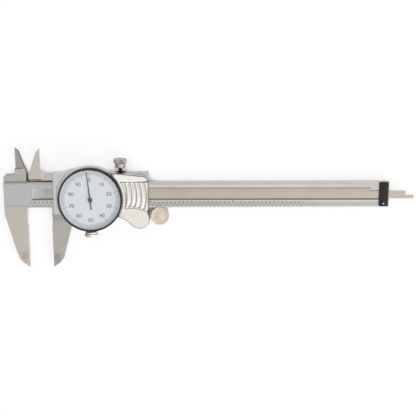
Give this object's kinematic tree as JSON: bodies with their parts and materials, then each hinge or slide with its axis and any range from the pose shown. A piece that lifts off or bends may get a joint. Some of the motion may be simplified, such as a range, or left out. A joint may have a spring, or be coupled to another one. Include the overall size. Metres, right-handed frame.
{
  "type": "dial caliper",
  "caption": "Dial caliper with outside and inside jaws, rack-driven dial, thumb roller, lock screw and depth rod.",
  "frame": {"origin": "middle of the fixed outside jaw's measuring face", "axes": "+X along the beam, the way the jaws open; +Y towards the inside jaws; +Z out of the dial"},
  "size_m": [0.2517, 0.0754, 0.0135],
  "materials": {
    "ground_steel": "satin ground stainless steel",
    "rack_steel": "milled stainless steel",
    "screw_steel": "turned steel",
    "nickel_knob": "nickel plate, knurled",
    "chromed_casting": "satin chrome plate on a casting",
    "movement_brass": "plain brass",
    "black_anodised": "black anodised, turned",
    "black_plate": "black lacquer",
    "white_dial": "matt white enamel with printed marks",
    "clear_crystal": "clear polished acrylic"
  },
  "bodies": {
    "beam_unit": {"beam": "ground_steel", "rack": "rack_steel", "rack_pins": "screw_steel", "stop_plate": "black_plate", "stop_plate_screws": "screw_steel"},
    "slider": {"slider_frame": "ground_steel", "back_plate": "ground_steel", "back_plate_screws": "screw_steel", "gib": "ground_steel", "gib_screws": "screw_steel", "housing": "chromed_casting", "housing_screws": "screw_steel", "lower_plate": "movement_brass", "plate_pillars": "movement_brass", "bridge": "movement_brass", "movement_screws": "screw_steel", "clamp_shoe": "movement_brass", "depth_rod": "rack_steel", "depth_rod_screws": "screw_steel", "roller_bracket": "ground_steel", "bracket_screws": "screw_steel", "roller_axle": "screw_steel"},
    "rack_train": {"rack_arbor": "screw_steel", "main_gear": "movement_brass", "takeup_gear": "movement_brass", "takeup_spring": "screw_steel"},
    "needle": {"pointer_arbor": "screw_steel", "pointer": "black_plate"},
    "dial_bezel": {"bezel": "black_anodised", "dial_plate": "white_dial", "crystal": "clear_crystal"},
    "roller": {"thumb_roller": "nickel_knob"},
    "lock_knob": {"lock_screw": "nickel_knob"},
    "clamp_knob": {"clamp_screw": "nickel_knob"}
  },
  "joints": [
    {"name": "slider_travel", "type": "slide", "parent": "beam_unit", "child": "slider", "axis": [1, 0, 0], "range_m": [-0.0152, 0.1372]},
    {"name": "rack_train_spin", "type": "hinge", "parent": "slider", "child": "rack_train", "pos_m": [0.04672, 0.03402, 0], "axis": [0, 0, 1], "continuous": true},
    {"name": "needle_spin", "type": "hinge", "parent": "slider", "child": "needle", "pos_m": [0.03979, 0.03115, 0], "axis": [0, 0, 1], "continuous": true},
    {"name": "bezel_turn", "type": "hinge", "parent": "slider", "child": "dial_bezel", "pos_m": [0.03979, 0.03115, 0], "axis": [0, 0, 1], "continuous": true},
    {"name": "roller_spin", "type": "hinge", "parent": "slider", "child": "roller", "pos_m": [0.08179, 0.01975, 0], "axis": [0, 0, 1], "continuous": true},
    {"name": "lock_screw_turn", "type": "hinge", "parent": "slider", "child": "lock_knob", "pos_m": [0.05789, 0.04685, 0.00065], "axis": [0, 1, 0], "range_deg": [-30, 360]},
    {"name": "clamp_screw_turn", "type": "hinge", "parent": "slider", "child": "clamp_knob", "pos_m": [0.03979, 0.01115, 0.00555], "axis": [0, 1, 0], "range_deg": [-360, 30]}
  ],
  "couplings": [
    {"joint": "rack_train_spin", "follows": "slider_travel", "rad_per_m": 618.42},
    {"joint": "needle_spin", "follows": "slider_travel", "rad_per_m": -2473.7},
    {"joint": "roller_spin", "follows": "slider_travel", "rad_per_m": 192.31}
  ]
}
